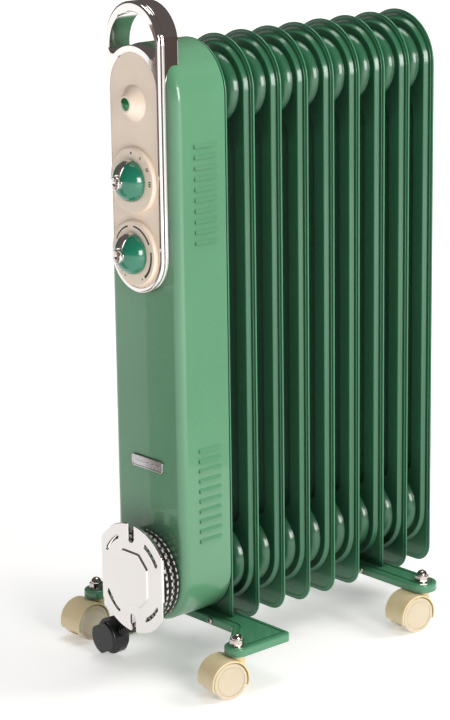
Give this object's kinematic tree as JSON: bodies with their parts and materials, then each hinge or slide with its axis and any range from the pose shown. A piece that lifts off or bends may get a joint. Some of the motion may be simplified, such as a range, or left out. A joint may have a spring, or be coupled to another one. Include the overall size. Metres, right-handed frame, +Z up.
{
  "type": "oil filled radiator heater",
  "caption": "Upright oil filled radiator with domed steel fins, a rounded control housing with two knobs, a loop handle, a cord winder and swivel casters.",
  "frame": {"origin": "middle of the footprint on the floor, measured without the cord and its plug", "axes": "+Z up, -Y towards the control housing (front), +X the viewer's right from the front"},
  "size_m": [0.2538, 0.405, 0.679],
  "materials": {
    "fin_paint": "gloss",
    "housing_paint": "gloss",
    "foot_paint": "gloss",
    "steel": "satin",
    "bright_steel": "polished",
    "brass": "satin",
    "chrome": "polished",
    "badge_metal": "polished",
    "panel_cream": "semi gloss",
    "jewel": "polished",
    "lamp_glass": "polished",
    "black_plastic": "matte",
    "wire_cover": "matte",
    "plug_rubber": "satin",
    "cord_textile": "woven",
    "pin_nickel": "satin",
    "knob_green": "gloss",
    "caster_cream": "satin",
    "wheel_cream": "satin"
  },
  "bodies": {
    "root": {"fin_1": "fin_paint", "fin_2": "fin_paint", "fin_3": "fin_paint", "fin_4": "fin_paint", "fin_5": "fin_paint", "fin_6": "fin_paint", "fin_7": "fin_paint", "fin_8": "fin_paint", "fin_9": "fin_paint", "heating_element": "steel", "heater_flange": "brass", "control_housing": "housing_paint", "mounting_plate": "steel", "housing_screws": "steel", "badge": "badge_metal", "handle_front": "chrome", "handle_rear": "chrome", "control_panel": "panel_cream", "indicator_lens": "jewel", "indicator_lamp": "lamp_glass", "selector_switch": "black_plastic", "thermostat_body": "black_plastic", "thermal_cutout": "black_plastic", "terminal_block": "black_plastic", "wiring_harness": "wire_cover", "winder_drum": "black_plastic", "winder_plate": "chrome", "cord_gland": "plug_rubber", "cord_coil": "cord_textile", "cord_tail": "cord_textile", "plug_body": "plug_rubber", "plug_pins": "pin_nickel", "foot_front": "foot_paint", "foot_rear": "foot_paint", "foot_bolts": "bright_steel", "foot_nuts": "bright_steel", "caster_stems": "steel", "caster_nuts": "bright_steel"},
    "power_dial": {"power_knob": "knob_green", "power_pointer": "chrome", "power_shaft": "steel"},
    "thermostat_dial": {"thermostat_knob": "knob_green", "thermostat_pointer": "chrome", "thermostat_shaft": "steel"},
    "caster_front_right": {"caster_hood_front_right": "caster_cream", "caster_axle_front_right": "steel"},
    "wheel_front_right_left": {"wheel_front_right_left": "wheel_cream"},
    "wheel_front_right_right": {"wheel_front_right_right": "wheel_cream"},
    "caster_front_left": {"caster_hood_front_left": "caster_cream", "caster_axle_front_left": "steel"},
    "wheel_front_left_left": {"wheel_front_left_left": "wheel_cream"},
    "wheel_front_left_right": {"wheel_front_left_right": "wheel_cream"},
    "caster_rear_right": {"caster_hood_rear_right": "caster_cream", "caster_axle_rear_right": "steel"},
    "wheel_rear_right_left": {"wheel_rear_right_left": "wheel_cream"},
    "wheel_rear_right_right": {"wheel_rear_right_right": "wheel_cream"},
    "caster_rear_left": {"caster_hood_rear_left": "caster_cream", "caster_axle_rear_left": "steel"},
    "wheel_rear_left_left": {"wheel_rear_left_left": "wheel_cream"},
    "wheel_rear_left_right": {"wheel_rear_left_right": "wheel_cream"}
  },
  "joints": [
    {"name": "power_turn", "type": "hinge", "parent": "root", "child": "power_dial", "pos_m": [0, -0.19, 0.506], "axis": [0, 1, 0], "range_deg": [0, 90]},
    {"name": "thermostat_turn", "type": "hinge", "parent": "root", "child": "thermostat_dial", "pos_m": [0, -0.19, 0.434], "axis": [0, 1, 0], "range_deg": [-150, 150]},
    {"name": "swivel_front_right", "type": "hinge", "parent": "root", "child": "caster_front_right", "pos_m": [0.111, -0.1505, 0.035], "axis": [0, 0, 1], "continuous": true},
    {"name": "roll_front_right_left", "type": "hinge", "parent": "caster_front_right", "child": "wheel_front_right_left", "pos_m": [0.10795, -0.16621, 0.019], "axis": [0.9816, -0.1908, 0], "continuous": true},
    {"name": "roll_front_right_right", "type": "hinge", "parent": "caster_front_right", "child": "wheel_front_right_right", "pos_m": [0.10795, -0.16621, 0.019], "axis": [0.9816, -0.1908, 0], "continuous": true},
    {"name": "swivel_front_left", "type": "hinge", "parent": "root", "child": "caster_front_left", "pos_m": [-0.111, -0.1505, 0.035], "axis": [0, 0, 1], "continuous": true},
    {"name": "roll_front_left_left", "type": "hinge", "parent": "caster_front_left", "child": "wheel_front_left_left", "pos_m": [-0.111, -0.1665, 0.019], "axis": [1, 0, 0], "continuous": true},
    {"name": "roll_front_left_right", "type": "hinge", "parent": "caster_front_left", "child": "wheel_front_left_right", "pos_m": [-0.111, -0.1665, 0.019], "axis": [1, 0, 0], "continuous": true},
    {"name": "swivel_rear_right", "type": "hinge", "parent": "root", "child": "caster_rear_right", "pos_m": [0.111, 0.1125, 0.035], "axis": [0, 0, 1], "continuous": true},
    {"name": "roll_rear_right_left", "type": "hinge", "parent": "caster_rear_right", "child": "wheel_rear_right_left", "pos_m": [0.10877, 0.09666, 0.019], "axis": [0.9903, -0.1392, 0], "continuous": true},
    {"name": "roll_rear_right_right", "type": "hinge", "parent": "caster_rear_right", "child": "wheel_rear_right_right", "pos_m": [0.10877, 0.09666, 0.019], "axis": [0.9903, -0.1392, 0], "continuous": true},
    {"name": "swivel_rear_left", "type": "hinge", "parent": "root", "child": "caster_rear_left", "pos_m": [-0.111, 0.1125, 0.035], "axis": [0, 0, 1], "continuous": true},
    {"name": "roll_rear_left_left", "type": "hinge", "parent": "caster_rear_left", "child": "wheel_rear_left_left", "pos_m": [-0.10795, 0.09679, 0.019], "axis": [0.9816, 0.1908, 0], "continuous": true},
    {"name": "roll_rear_left_right", "type": "hinge", "parent": "caster_rear_left", "child": "wheel_rear_left_right", "pos_m": [-0.10795, 0.09679, 0.019], "axis": [0.9816, 0.1908, 0], "continuous": true}
  ]
}
